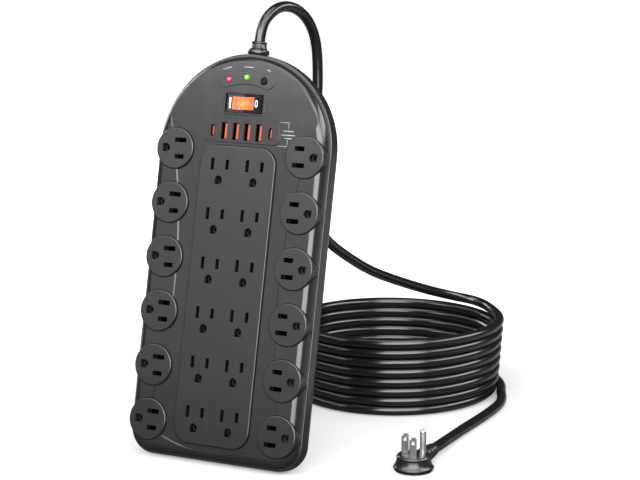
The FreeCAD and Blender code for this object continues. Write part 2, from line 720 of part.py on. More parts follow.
def switch_rocker():
    body = rocker_section().extrude(V(0, ROCKER_DEPTH, 0))
    body.translate(V(0, -ROCKER_DEPTH / 2, 0))
    body = body.cut(lens_pocket(LENS_GAP, LENS_OPEN))
    reach = SWITCH_BODY[1] / 2 - PIN_SHORT
    pin = Part.makeCylinder(PIVOT_R, 2 * reach, V(0, -reach, 0), V(0, 1, 0))
    return seat_rocker(body.fuse(pin).removeSplitter())


def rocker_lens():
    return seat_rocker(lens_pocket(0.0, LENS_LIFT))


def switch_lamp():
    """The neon lamp that lies under the rocker."""
    start = V(-LAMP_LENGTH / 2, SWITCH_Y, PIVOT_Z - LAMP_DROP)
    glass = Part.makeCylinder(LAMP_R, LAMP_LENGTH, start, V(1, 0, 0))
    return glass.makeFillet(LAMP_EDGE_R, [e for e in glass.Edges if e.BoundBox.XLength < 0.01])


def switch_terminals():
    thick, width, drop = TERMINAL
    y0 = SWITCH_Y - width / 2
    blades = []
    for x in TERMINAL_X:
        x0 = x - thick / 2
        blades.append(Part.makeBox(thick, width, drop, V(x0, y0, SWITCH_FLOOR_Z - drop)))
    return Part.makeCompound(blades)


# ---------------------------------------------------------------------------- indicators


def indicator_panel():
    low = FIELD_Z - COVER_WALL
    shape = extrude(indicator_wire(0.0), low, INDICATOR_FACE_Z)
    shape = shape.makeFillet(PANEL_EDGE_R, edges_at(shape, INDICATOR_FACE_Z))
    (ax, ay), (bx, by), (cx, cy) = lamp_spots()
    lamp_r = LED_R + LED_HOLE_GAP
    return shape.cut([post(ax, ay, low - CUT, CUT, lamp_r), post(bx, by, low - CUT, CUT, lamp_r),
                      post(cx, cy, low - CUT, CUT, BUTTON_HOLE_R)])


def led(spot):
    """A 5 mm lamp: round-topped barrel with a foot flange on the board."""
    x, y = spot
    barrel = post(x, y, INDICATOR_BOARD_Z, LED_DOME_Z, LED_R)
    foot = post(x, y, INDICATOR_BOARD_Z, INDICATOR_BOARD_Z + LED_FOOT, LED_FOOT_R)
    dome = Part.makeSphere(LED_R, V(x, y, LED_DOME_Z), V(0, 0, 1), 0, 90, 360)
    return barrel.fuse([foot, dome]).removeSplitter()


def test_button():
    x, y = lamp_spots()[2]
    cap = post(x, y, BUTTON_FLANGE_TOP, BUTTON_TOP, BUTTON_R)
    cap = cap.makeFillet(BUTTON_EDGE_R, edges_at(cap, BUTTON_TOP))
    flange = post(x, y, BUTTON_FLANGE_BOTTOM, BUTTON_FLANGE_TOP, BUTTON_FLANGE_R)
    return cap.fuse(flange).removeSplitter()


def test_switch_plunger():
    x, y = lamp_spots()[2]
    return post(x, y, PLUNGER_LOW, BUTTON_FLANGE_BOTTOM, PLUNGER_R)


def test_switch_body():
    x, y = lamp_spots()[2]
    half = TACT_HALF
    body = box(x - half, y - half, INDICATOR_BOARD_Z, x + half, y + half, TACT_TOP)
    return body.cut(post(x, y, INDICATOR_BOARD_Z - CUT, TACT_TOP + CUT, PLUNGER_R + PLUNGER_GAP))


def indicator_board():
    x0, y0, x1, y1 = INDICATOR_BOARD
    return box(x0, y0, INDICATOR_BOARD_Z - BOARD_THICK, x1, y1, INDICATOR_BOARD_Z)


# ---------------------------------------------------------------------------- USB and surge boards


def usb_panel():
    x0, y0, x1, y1 = USB_PANEL
    low = FLANGE_TOP - FLANGE_THICK
    body = extrude(rounded(x0, y0, x1, y1, USB_PANEL_R), low, USB_FACE_Z)
    body = body.makeFillet(PANEL_EDGE_R, edges_at(body, USB_FACE_Z))
    f = USB_FLANGE
    body = body.fuse(extrude(rounded(x0 - f, y0 - f, x1 + f, y1 + f, USB_PANEL_R + f), low, FLANGE_TOP))
    body = body.removeSplitter()
    t = USB_WALL
    pocket = rounded(x0 + t, y0 + t, x1 - t, y1 - t, USB_PANEL_R - t)
    body = body.cut(extrude(pocket, low - CUT, USB_FACE_Z - USB_FACE_THICK))
    w, h = USB_A_PORT
    ports = [extrude(centred(x, USB_ROW_Y, w, h, USB_A_CORNER), low, CUT) for x in USB_A_X]
    w, h = USB_C_PORT
    ports += [extrude(centred(x, USB_ROW_Y, w, h, USB_C_CORNER), low, CUT) for x in USB_C_X]
    return body.cut(ports)


def usb_shells(port, spots, corner):
    """Sheet-metal connector shells standing on the USB board."""
    w = port[0] + 2 * SHELL_GAP
    h = port[1] + 2 * SHELL_GAP
    sheet = 2 * SHELL_SHEET
    top = USB_FACE_Z - USB_FACE_THICK - SHELL_GAP / 2
    shells = []
    for x in spots:
        outer = extrude(centred(x, USB_ROW_Y, w + sheet, h + sheet, corner + SHELL_SHEET), USB_BOARD_Z, top)
        inner = extrude(centred(x, USB_ROW_Y, w, h, corner), USB_BOARD_Z - CUT, top + CUT)
        shells.append(outer.cut(inner))
    return Part.makeCompound(shells)


def usb_tongues(port, spots, corner, tongue, offset):
    """The orange insulators: a base block with the contact tongue standing on it."""
    w, h = port
    tw, th = tongue
    pieces = []
    for x in spots:
        base = extrude(centred(x, USB_ROW_Y, w, h, corner), USB_BOARD_Z, USB_BOARD_Z + TONGUE_BASE)
        blade = Part.makeBox(tw, th, TONGUE_TOP - USB_BOARD_Z)
        blade.translate(V(x + offset - tw / 2, USB_ROW_Y - th / 2, USB_BOARD_Z))
        pieces.append(base.fuse(blade).removeSplitter())
    return Part.makeCompound(pieces)


def usb_board():
    x0, y0, x1, y1 = USB_BOARD
    return box(x0, y0, USB_BOARD_Z - BOARD_THICK, x1, y1, USB_BOARD_Z)


def usb_transformer():
    low = USB_BOARD_Z - BOARD_THICK
    x0, y0, x1, y1 = TRANSFORMER
    core = box(x0, y0, low - TRANSFORMER_HEIGHT, x1, y1, low)
    upright = [e for e in core.Edges if e.BoundBox.ZLength > TRANSFORMER_HEIGHT / 2]
    return core.makeFillet(TRANSFORMER_EDGE_R, upright)


def surge_board():
    x0, y0, x1, y1 = SURGE_BOARD
    return box(x0, y0, SURGE_BOARD_Z - BOARD_THICK, x1, y1, SURGE_BOARD_Z)


def varistors():
    low = SURGE_BOARD_Z - BOARD_THICK
    discs = []
    for x, y in VARISTORS:
        disc = post(x, y, low - VARISTOR_THICK, low, VARISTOR_R)
        discs.append(disc.makeFillet(VARISTOR_EDGE_R, edges_at(disc, low - VARISTOR_THICK)))
    return Part.makeCompound(discs)


def thermal_fuse():
    axis_z = SURGE_BOARD_Z - BOARD_THICK - FUSE_BARREL[0]
    rods = [Part.makeCylinder(r, length, V(FUSE_X, start, axis_z), V(0, 1, 0))
            for r, start, length in (FUSE_BARREL, FUSE_LEADS)]
    return rods[0].fuse(rods[1]).removeSplitter()


# ---------------------------------------------------------------------------- cord


def strain_relief():
    """The moulded grommet in the top of the rear cover, drawn along y."""
    points = [V(r, y, 0) for r, y in STRAIN_PROFILE]
    points = [V(0, points[0].y, 0)] + points + [V(0, STRAIN_TOP, 0)]
    face = Part.Face(Part.makePolygon(points + points[:1]))
    shape = face.revolve(V(0, 0, 0), V(0, 1, 0), 360)
    shape.translate(V(0, 0, STRAIN_Z))
    return shape


def route_wire(points):
    """Straight runs joined by tangent arcs, each as large as its two runs allow."""
    points = [V(*p) for p in points]
    edges = []
    radii = []
    start = points[0]
    for before, corner, after in zip(points, points[1:], points[2:]):
        a = before - corner
        b = after - corner
        half_turn = (math.pi - a.getAngle(b)) / 2
        run = min(a.Length, b.Length)
        reach = ARC_SHARE * run
        radius = reach / math.tan(half_turn)
        radii.append(radius)
        a.normalize()
        b.normalize()
        enter = corner + a * reach
        leave = corner + b * reach
        inward = (a + b).normalize()
        middle = corner + inward * (radius / math.cos(half_turn) - radius)
        edges.append(Part.LineSegment(start, enter).toShape())
        edges.append(Part.Arc(enter, middle, leave).toShape())
        start = leave
    edges.append(Part.LineSegment(start, points[-1]).toShape())
    return Part.Wire(edges), radii


def cord_tube(name, points):
    wire, radii = route_wire(points)
    start = V(*points[0])
    along = V(*points[1]) - start
    ring = Part.Wire([Part.makeCircle(CORD_R, start, along)])
    tube = wire.makePipeShell([ring], True, False)
    section = math.pi * CORD_R ** 2
    print(name, "length %.1f" % wire.Length, "volume / (section * length) %.4f"
          % (tube.Volume / (section * wire.Length)), "radii", [round(r, 1) for r in radii])
    return tube


def coil(lead, tail):
    """The coil's outer shape: an upright ring, wider on the floor along its rear half."""
    grow = CORD_R + COIL_SLACK
    outer = Part.makeCone(COIL_LOW_R + grow, COIL_R + grow, COIL_TOP)
    inner = Part.makeCone(COIL_LOW_R - grow, COIL_R - grow, COIL_TOP)
    reach = COIL_LOW_R + COIL_SKIRT + grow
    floor_turn = Part.makeCylinder(reach, 2 * grow).common(box(-reach, 0, 0, reach, reach, 2 * grow))
    ring = outer.fuse(floor_turn).cut(inner)
    ring.rotate(V(0, 0, 0), V(0, 0, 1), COIL_TURN)
    ring.translate(V(COIL_CENTRE[0], COIL_CENTRE[1], 0))
    return ring.cut([lead, tail]).removeSplitter()


def lead_points():
    exit_point = CASE_PLACE.multVec(V(0, STRAIN_TOP, STRAIN_Z))
    second = CASE_PLACE.multVec(V(0, STRAIN_TOP + EXIT_RUN, STRAIN_Z))
    return [tuple(exit_point), tuple(second)] + list(LEAD)


def tail_points():
    reach = COIL_LOW_R + COIL_SKIRT
    turn = math.radians(COIL_TURN)
    x = COIL_CENTRE[0] + reach * math.cos(turn)
    y = COIL_CENTRE[1] + reach * math.sin(turn)
    return [(x, y, CORD_R + COIL_SLACK)] + list(TAIL)


# ---------------------------------------------------------------------------- plug


def prong_spots():
    """Root centres of the two blades and of the ground pin."""
    turn = math.radians(PLUG_GROUND_TURN)
    g = V(math.cos(turn), math.sin(turn), 0)
    w = V(math.sin(turn), -math.cos(turn), 0)
    centre = V(PLUG_XY[0], PLUG_XY[1], 0)
    line_middle = centre - g * BLADE_LINE
    return [line_middle - w * (BLADE_SPACING / 2), line_middle + w * (BLADE_SPACING / 2),
            line_middle + g * GROUND_DROP]


def plug_blade(spot):
    """A flat blade with a bevelled tip and a locking hole."""
    width, thick, height = BLADE
    low = -BLADE_ROOT
    k = BLADE_BEVEL
    outline_points = [(-width / 2, low), (width / 2, low), (width / 2, height - k), (width / 2 - k, height),
                      (-width / 2 + k, height), (-width / 2, height - k)]
    points = [V(x, 0, z) for x, z in outline_points]
    blade = Part.Face(Part.makePolygon(points + points[:1])).extrude(V(0, thick, 0))
    blade.translate(V(0, -thick / 2, 0))
    hole_r, from_tip = BLADE_HOLE
    start = V(0, -thick / 2 - CUT, height - from_tip)
    blade = blade.cut(Part.makeCylinder(hole_r, thick + 2 * CUT, start, V(0, 1, 0)))
    blade.rotate(V(0, 0, 0), V(0, 0, 1), PLUG_GROUND_TURN)
    blade.translate(spot + V(0, 0, PLUG_HEIGHT))
    return blade


def plug_ground_pin():
    spot = prong_spots()[2]
    top = PLUG_HEIGHT + GROUND_PIN_LENGTH
    pin = post(spot.x, spot.y, PLUG_HEIGHT, top, GROUND_PIN_R)
    pin = pin.makeFillet(GROUND_PIN_TIP, edges_at(pin, top))
    root = post(spot.x, spot.y, PLUG_HEIGHT - BLADE_ROOT, PLUG_HEIGHT, GROUND_PIN_ROOT_R)
    return pin.fuse(root).removeSplitter()


def plug_body(prongs):
    """A low round plug with a flared skirt and a side boss for the cord."""

    def at(spot):
        return V(spot[0], 0, spot[1])

    middle = (0, 0)
    foot = (FOOT_R, 0)
    top = (TOP_R, PLUG_HEIGHT)
    top_middle = (0, PLUG_HEIGHT)
    edges = [
        Part.LineSegment(at(middle), at(foot)).toShape(),
        Part.Arc(at(foot), at(SKIRT_BULGE), at(SKIRT_TOP)).toShape(),
        Part.Arc(at(SKIRT_TOP), at(WAIST), at(CROWN)).toShape(),
        Part.Arc(at(CROWN), at(CROWN_ARC), at(top)).toShape(),
        Part.LineSegment(at(top), at(top_middle)).toShape(),
        Part.LineSegment(at(top_middle), at(middle)).toShape(),
    ]
    body = Part.Face(Part.Wire(edges)).revolve(V(0, 0, 0), V(0, 0, 1), 360)
    boss = Part.makeCylinder(BOSS_R, PLUG_BOSS, V(0, 0, PLUG_AXIS_Z), V(0, 1, 0))
    body = body.fuse(boss).removeSplitter()
    body.translate(V(PLUG_XY[0], PLUG_XY[1], 0))
    return body.cut(prongs)


def plug_collar():
    start = V(0, PLUG_BOSS, PLUG_AXIS_Z)
    collar = Part.makeCone(COLLAR_R[0], COLLAR_R[1], COLLAR_END - PLUG_BOSS, start, V(0, 1, 0))
    collar.translate(V(PLUG_XY[0], PLUG_XY[1], 0))
    return collar


# ---------------------------------------------------------------------------- write every node


def main():
    os.makedirs("parts", exist_ok=True)
    save("front_cover", place(front_cover()))
    save("rear_cover", place(rear_cover()))
    save("outlet_panel", place(outlet_panel()))
    for name, side in (("left", -1), ("right", 1)):
        for number, y in enumerate(side_rows(), 1):
            save("outlet_%s_%d" % (name, number), place(side_outlet(side, y)))
    for column in ("left", "mid_left", "mid_right", "right"):
        for kind in ("hot", "neutral", "ground"):
            save("bus_%s_%s" % (column, kind), place(bus_bar(column, kind)))
    save("bus_carrier", place(bus_carrier()))
    save("case_screws", place(case_screws()))
    save("switch_housing", place(switch_housing()))
    save("switch_rocker", place(switch_rocker()))
    save("rocker_lens", place(rocker_lens()))
    save("switch_lamp", place(switch_lamp()))
    save("switch_terminals", place(switch_terminals()))
    save("indicator_panel", place(indicator_panel()))
    save("indicator_board", place(indicator_board()))
    save("protected_led", place(led(lamp_spots()[0])))
    save("grounded_led", place(led(lamp_spots()[1])))
    save("test_button", place(test_button()))
    save("test_switch_plunger", place(test_switch_plunger()))
    save("test_switch_body", place(test_switch_body()))
    save("usb_panel", place(usb_panel()))
    save("usb_board", place(usb_board()))
    save("usb_a_shells", place(usb_shells(USB_A_PORT, USB_A_X, USB_A_CORNER)))
    save("usb_c_shells", place(usb_shells(USB_C_PORT, USB_C_X, USB_C_CORNER)))
    a_tongues = usb_tongues(USB_A_PORT, USB_A_X, USB_A_CORNER, USB_A_TONGUE, USB_A_TONGUE_SHIFT)
    save("usb_a_tongues", place(a_tongues))
    save("usb_c_tongues", place(usb_tongues(USB_C_PORT, USB_C_X, USB_C_CORNER, USB_C_TONGUE, 0.0)))
    save("usb_transformer", place(usb_transformer()))
    save("surge_board", place(surge_board()))
    save("varistors", place(varistors()))
    save("thermal_fuse", place(thermal_fuse()))
    save("strain_relief", place(strain_relief()))
    lead = cord_tube("cord_lead", lead_points())
    tail = cord_tube("cord_tail", tail_points())
    save("cord_lead", lead)
    save("cord_coil", coil(lead, tail))
    save("cord_tail", tail)
    first, second, _ = prong_spots()
    blades = [plug_blade(first), plug_blade(second)]
    pin = plug_ground_pin()
    save("plug_body", plug_body(blades + [pin]))
    save("plug_collar", plug_collar())
    save("plug_blades", Part.makeCompound(blades))
    save("plug_ground_pin", pin)
    print("exit", [round(v, 2) for v in lead_points()[0]], "second", [round(v, 2) for v in lead_points()[1]])
    print("tail start", [round(v, 2) for v in tail_points()[0]])


main()
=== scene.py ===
"""The surge protector's looks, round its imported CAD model: metres, in the CAD model's frame."""
import json
import math

import bmesh
import bpy
from mathutils import Matrix, Vector


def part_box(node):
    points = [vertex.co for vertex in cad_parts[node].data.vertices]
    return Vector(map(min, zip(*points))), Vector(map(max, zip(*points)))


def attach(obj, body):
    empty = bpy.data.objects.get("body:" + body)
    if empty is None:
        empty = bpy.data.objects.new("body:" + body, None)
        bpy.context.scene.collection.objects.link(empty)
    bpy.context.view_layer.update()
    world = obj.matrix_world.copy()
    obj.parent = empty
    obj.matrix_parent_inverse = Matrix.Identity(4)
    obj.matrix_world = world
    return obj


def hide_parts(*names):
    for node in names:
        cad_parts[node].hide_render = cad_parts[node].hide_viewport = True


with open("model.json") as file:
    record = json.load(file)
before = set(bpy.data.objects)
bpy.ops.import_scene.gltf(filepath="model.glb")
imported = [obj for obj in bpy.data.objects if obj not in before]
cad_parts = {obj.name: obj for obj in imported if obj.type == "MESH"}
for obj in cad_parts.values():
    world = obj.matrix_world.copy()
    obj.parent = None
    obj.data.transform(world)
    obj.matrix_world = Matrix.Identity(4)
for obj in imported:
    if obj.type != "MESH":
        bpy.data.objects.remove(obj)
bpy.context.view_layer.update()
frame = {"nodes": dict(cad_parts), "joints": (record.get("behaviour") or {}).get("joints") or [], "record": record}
MM = 0.001


# ------------------------------------------------- the case's own axes, from the record

def joint(name):
    return next(j for j in frame["joints"] if j["name"] == name)


MID_SOCKETS = [m for m in frame["record"]["mounts"] if m["name"].startswith("socket_mid")]
CASE_ORIGIN = sum((Vector(m["pos_m"]) for m in MID_SOCKETS), Vector()) / len(MID_SOCKETS)
RIGHT = Vector((1, 0, 0))
UP = Vector(joint("rocker_tilt")["axis"]).normalized()
OUT = RIGHT.cross(UP)
CASE = Matrix.Translation(CASE_ORIGIN) @ Matrix((RIGHT, UP, OUT)).transposed().to_4x4()


def on_case(x, y, z):
    """A point of the case frame, in millimetres, as a place in metres."""
    return CASE @ (Vector((x, y, z)) * MM)


LAMP_ARC_HEIGHT = 109.1         # of the middle of the lamps' arc, on the case
LAMP_ARC_R = 53.1
LAMP_STEP = 16.6                # degrees between a lamp and the next
RED_LAMP, GREEN_LAMP, BUTTON = -1, 0, 1


def lamp_spot(step):
    """The place on the case of a lamp or of the button, counted from the green lamp."""
    angle = math.radians(step * LAMP_STEP)
    return LAMP_ARC_R * math.sin(angle), LAMP_ARC_HEIGHT + LAMP_ARC_R * math.cos(angle)


# ------------------------------------------------- camera

CAMERA_PLACE = (0.7259, -1.3042, 0.4568)
CAMERA_DOWN = 10.99             # degrees below the horizon
CAMERA_TURN = 26.66             # degrees about Z, from a view along +Y
CAMERA_LENS = 111.97            # millimetres
CAMERA_SENSOR = 36.0


def make_camera():
    data = bpy.data.cameras.new("camera")
    data.lens = CAMERA_LENS
    data.sensor_width = CAMERA_SENSOR
    data.clip_start = 0.05
    data.clip_end = 60.0
    camera = bpy.data.objects.new("camera", data)
    camera.location = CAMERA_PLACE
    camera.rotation_euler = (math.radians(90 - CAMERA_DOWN), 0, math.radians(CAMERA_TURN))
    bpy.context.scene.collection.objects.link(camera)
    bpy.context.scene.camera = camera


make_camera()

# ------------------------------------------------- the cord, in millimetres

CORD_D = 8.2
EXIT_HEIGHT = 191.5             # on the case, where the cord leaves the strain relief
EXIT_DEPTH = -16.0              # of the strain relief's own axis
EXIT_RUN = 12.0                 # straight out before the first bend
# The lead after the exit: over the top, down behind the case and on to the coil.
LEAD = (
    (3.5, 50.1, 336.8), (7.2, 61.8, 341.4), (11.6, 76.7, 339.0), (16.0, 90.0, 328.8),
    (18.6, 98.4, 311.5), (19.2, 100.0, 285.0), (19.6, 96.5, 252.0), (21.0, 89.0, 218.0),
    (23.0, 83.5, 188.0), (24.5, 88.5, 165.5), (26.0, 105.0, 149.0), (28.8, 133.0, 133.0),
    (33.2, 170.0, 114.0), (38.0, 212.0, 98.5), (45.0, 251.0, 84.5), (57.5, 284.0, 73.0),
    (78.5, 299.5, 67.0),
)
# The tail: off the lowest turn and along the floor to the plug's collar.
TAIL = (
    (124.0, 240.0, 4.2), (132.5, 222.0, 4.2), (138.5, 200.0, 4.2), (140.0, 162.0, 4.2),
    (139.0, 124.0, 4.2), (139.4, 94.0, 4.3), (142.3, 69.4, 6.4), (142.3, 51.4, 6.4),
)
COIL_CENTRE = (35.0, 221.0)
COIL_R = 88.5                   # of the top turn
COIL_LOW_R = 84.2               # of the lowest turn
COIL_START = 24.5               # degrees from the X axis
TURNS = 8
PER_TURN = 20                   # points in a turn
FIRST_POINT = -1                # the lead joins one point before the start
TOP_Z = 64.0
FLOOR_Z = 4.2
FLAT_TURNS = 0.75               # of the coil's end, which lies level on the floor
SKIRT = 6.4                     # how far the last half turn lies outside the stack
SKIRT_RATE = 3.4                # how fast it moves out: one over the part of a turn that this takes
TUCK = 1.4                      # how far the turn above it is pushed in where the tail leaves
TUCK_RATE = 4                   # one over the part of a turn over which the push fades out


def coil_point(radius, angle, z):
    return COIL_CENTRE[0] + radius * math.cos(angle), COIL_CENTRE[1] + radius * math.sin(angle), z


def coil_points():
    """Round turns, clockwise from above, each a cord lower and a little smaller than the last."""
    points = []
    for step in range(FIRST_POINT, TURNS * PER_TURN):
        s = step / PER_TURN
        angle = math.radians(COIL_START) - 2 * math.pi * s
        drop = min(1.0, s / (TURNS - FLAT_TURNS))
        out = SKIRT * min(1.0, max(0.0, (s - (TURNS - FLAT_TURNS)) * SKIRT_RATE))
        out -= TUCK * max(0.0, 1 - TUCK_RATE * abs(s - (TURNS - 1)))
        radius = COIL_R - (COIL_R - COIL_LOW_R) * drop + out
        points.append(coil_point(radius, angle, TOP_Z - (TOP_Z - FLOOR_Z) * drop))
    return points


def tail_start():
    return coil_point(COIL_LOW_R + SKIRT, math.radians(COIL_START), FLOOR_Z)


def make_cord():
    """One spline: out of the strain relief, over, down, round the coil and along to the plug."""
    exit_point = on_case(0, EXIT_HEIGHT, EXIT_DEPTH)
    second = on_case(0, EXIT_HEIGHT + EXIT_RUN, EXIT_DEPTH)
    points = [tuple(exit_point / MM), tuple(second / MM)] + list(LEAD) + coil_points()
    points += [tail_start()] + list(TAIL)
    curve = bpy.data.curves.new("power_cord", "CURVE")
    curve.dimensions = "3D"
    spline = curve.splines.new("NURBS")
    spline.points.add(len(points) - 1)
    for point, place in zip(spline.points, points):
        point.co = (place[0] * MM, place[1] * MM, place[2] * MM, 1)
    spline.order_u = 3
    spline.use_endpoint_u = True
    spline.resolution_u = 6
    curve.bevel_depth = CORD_D / 2 * MM
    curve.bevel_resolution = 10
    curve.use_fill_caps = True
    cord = bpy.data.objects.new("power_cord", curve)
    bpy.context.scene.collection.objects.link(cord)
    return cord, exit_point


cord, cord_exit = make_cord()


# ------------------------------------------------- materials

def principled(name, color, roughness, **values):
    """A new material, its node tree and its shader; values set the shader's other sockets."""
    material = bpy.data.materials.new(name)
    material.use_nodes = True
    shader = material.node_tree.nodes["Principled BSDF"]
    shader.inputs["Base Color"].default_value = (*color, 1)
    shader.inputs["Roughness"].default_value = roughness
    for socket, value in values.items():
        shader.inputs[socket.replace("_", " ")].default_value = value
    return material, material.node_tree, shader


def mixed(tree, factor, low, high):
    """A colour that runs from low, a colour or a socket, to high with a factor socket."""
    mix = tree.nodes.new("ShaderNodeMix")
    mix.data_type = "RGBA"
    if isinstance(low, tuple):
        mix.inputs["A"].default_value = (*low, 1)
    else:
        tree.links.new(low, mix.inputs["A"])
    mix.inputs["B"].default_value = (*high, 1)
    tree.links.new(factor, mix.inputs["Factor"])
    return mix.outputs["Result"]


def noise(tree, scale, detail=2.0, rough=0.5, stretch=None):
    """Noise over the object's own space."""
    place = tree.nodes.new("ShaderNodeTexCoord")
    texture = tree.nodes.new("ShaderNodeTexNoise")
    texture.inputs["Scale"].default_value = scale
    texture.inputs["Detail"].default_value = detail
    texture.inputs["Roughness"].default_value = rough
    source = place.outputs["Object"]
    if stretch:
        mapping = tree.nodes.new("ShaderNodeMapping")
        mapping.inputs["Scale"].default_value = stretch
        tree.links.new(source, mapping.inputs["Vector"])
        source = mapping.outputs["Vector"]
    tree.links.new(source, texture.inputs["Vector"])
    return texture.outputs["Fac"]


def ranged(tree, value, low, high, start=0.3, end=0.7):
    """A value that runs from low to high while the given one runs from start to end."""
    node = tree.nodes.new("ShaderNodeMapRange")
    node.inputs["From Min"].default_value = start
    node.inputs["From Max"].default_value = end
    node.inputs["To Min"].default_value = low
    node.inputs["To Max"].default_value = high
    tree.links.new(value, node.inputs["Value"])
    return node.outputs["Result"]


def bumped(tree, shader, height, strength, distance):
    bump = tree.nodes.new("ShaderNodeBump")
    bump.inputs["Strength"].default_value = strength
    bump.inputs["Distance"].default_value = distance
    tree.links.new(height, bump.inputs["Height"])
    tree.links.new(bump.outputs["Normal"], shader.inputs["Normal"])


TONE_SPREAD = 0.04              # of a plastic's colour, up and down
GLOSS_SPREAD = 0.015
GRAIN_DEPTH = 0.00003
TARNISH = 0.1                   # how much darker a metal's stains are
BRUSH_DEPTH = 0.00002
BRUSH_STRENGTH = 0.25
LENS_GLOSS = 0.15
LENS_CORE = 0.25                # the part of a lens's reach that is evenly bright
RIPPLE_DEPTH = 0.0001
RIPPLE_STRENGTH = 0.08
# The sizes of the patterns, in cells per metre.
TONE_CELLS, GLOSS_CELLS, GRAIN_CELLS = 45.0, 90.0, 2600.0
STAIN_CELLS, BRUSH_CELLS = 400.0, 2500.0
MOTTLE_CELLS, RIPPLE_CELLS = 420.0, 900.0


def moulded(name, color, roughness, grain=GRAIN_CELLS, strength=0.35, **values):
    """Moulded plastic: a fine spark grain, a faint uneven tone and an uneven gloss."""
    material, tree, shader = principled(name, color, roughness, **values)
    light = tuple(min(1.0, c * (1 + TONE_SPREAD)) for c in color)
    dark = tuple(c * (1 - TONE_SPREAD) for c in color)
    tone = ranged(tree, noise(tree, TONE_CELLS, 3.0), 0, 1)
    tree.links.new(mixed(tree, tone, dark, light), shader.inputs["Base Color"])
    low, high = roughness - GLOSS_SPREAD, roughness + GLOSS_SPREAD
    gloss = ranged(tree, noise(tree, GLOSS_CELLS, 2.0), low, high)
    tree.links.new(gloss, shader.inputs["Roughness"])
    bumped(tree, shader, noise(tree, grain, 2.0, 0.6), strength, GRAIN_DEPTH)
    return material


def metal(name, color, roughness, brush=(1, 1, 1)):
    """Plated or rolled metal with fine drawn lines and an uneven tarnish."""
    material, tree, shader = principled(name, color, roughness, Metallic=1.0)
    dark = tuple(c * (1 - TARNISH) for c in color)
    stains = ranged(tree, noise(tree, STAIN_CELLS, 3.0), 0, 1)
    tree.links.new(mixed(tree, stains, dark, color), shader.inputs["Base Color"])
    lines = noise(tree, BRUSH_CELLS, 2.0, 0.5, brush)
    gloss = ranged(tree, lines, roughness - 0.06, roughness + 0.1)
    tree.links.new(gloss, shader.inputs["Roughness"])
    bumped(tree, shader, lines, BRUSH_STRENGTH, BRUSH_DEPTH)
    return material


def glowing(name, color, middle, edge, strength, centre, reach, mottle=0.0):
    """A lit lens: coloured plastic that gives off light, from its middle's colour to its edge's."""
    material, tree, shader = principled(name, color, LENS_GLOSS, Emission_Strength=strength)
    place = tree.nodes.new("ShaderNodeTexCoord")
    apart = tree.nodes.new("ShaderNodeVectorMath")
    apart.operation = "SUBTRACT"
    apart.inputs[1].default_value = centre
    tree.links.new(place.outputs["Object"], apart.inputs[0])
    scaled = tree.nodes.new("ShaderNodeVectorMath")
    scaled.operation = "DIVIDE"
    scaled.inputs[1].default_value = reach
    tree.links.new(apart.outputs["Vector"], scaled.inputs[0])
    length = tree.nodes.new("ShaderNodeVectorMath")
    length.operation = "LENGTH"
    tree.links.new(scaled.outputs["Vector"], length.inputs[0])
    factor = ranged(tree, length.outputs["Value"], 0.0, 1.0, LENS_CORE, 1.0)
    if mottle:
        spots = ranged(tree, noise(tree, MOTTLE_CELLS, 2.0), -mottle, mottle)
        total = tree.nodes.new("ShaderNodeMath")
        total.operation = "ADD"
        total.use_clamp = True
        tree.links.new(factor, total.inputs[0])
        tree.links.new(spots, total.inputs[1])
        factor = total.outputs["Value"]
    tree.links.new(mixed(tree, factor, middle, edge), shader.inputs["Emission Color"])
    bumped(tree, shader, noise(tree, RIPPLE_CELLS, 1.0), RIPPLE_STRENGTH, RIPPLE_DEPTH)
    return material


def node_middle(node):
    low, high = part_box(node)
    return (Vector(low) + Vector(high)) / 2


CHARCOAL = (0.0065, 0.0066, 0.0068)
LENS_REACH = (0.0078, 0.02, 0.0050)     # from a lit lens's middle to its edge, along each axis
LAMP_REACH = (0.0024, 0.02, 0.0024)
LAMP_MIDDLE = 0.3

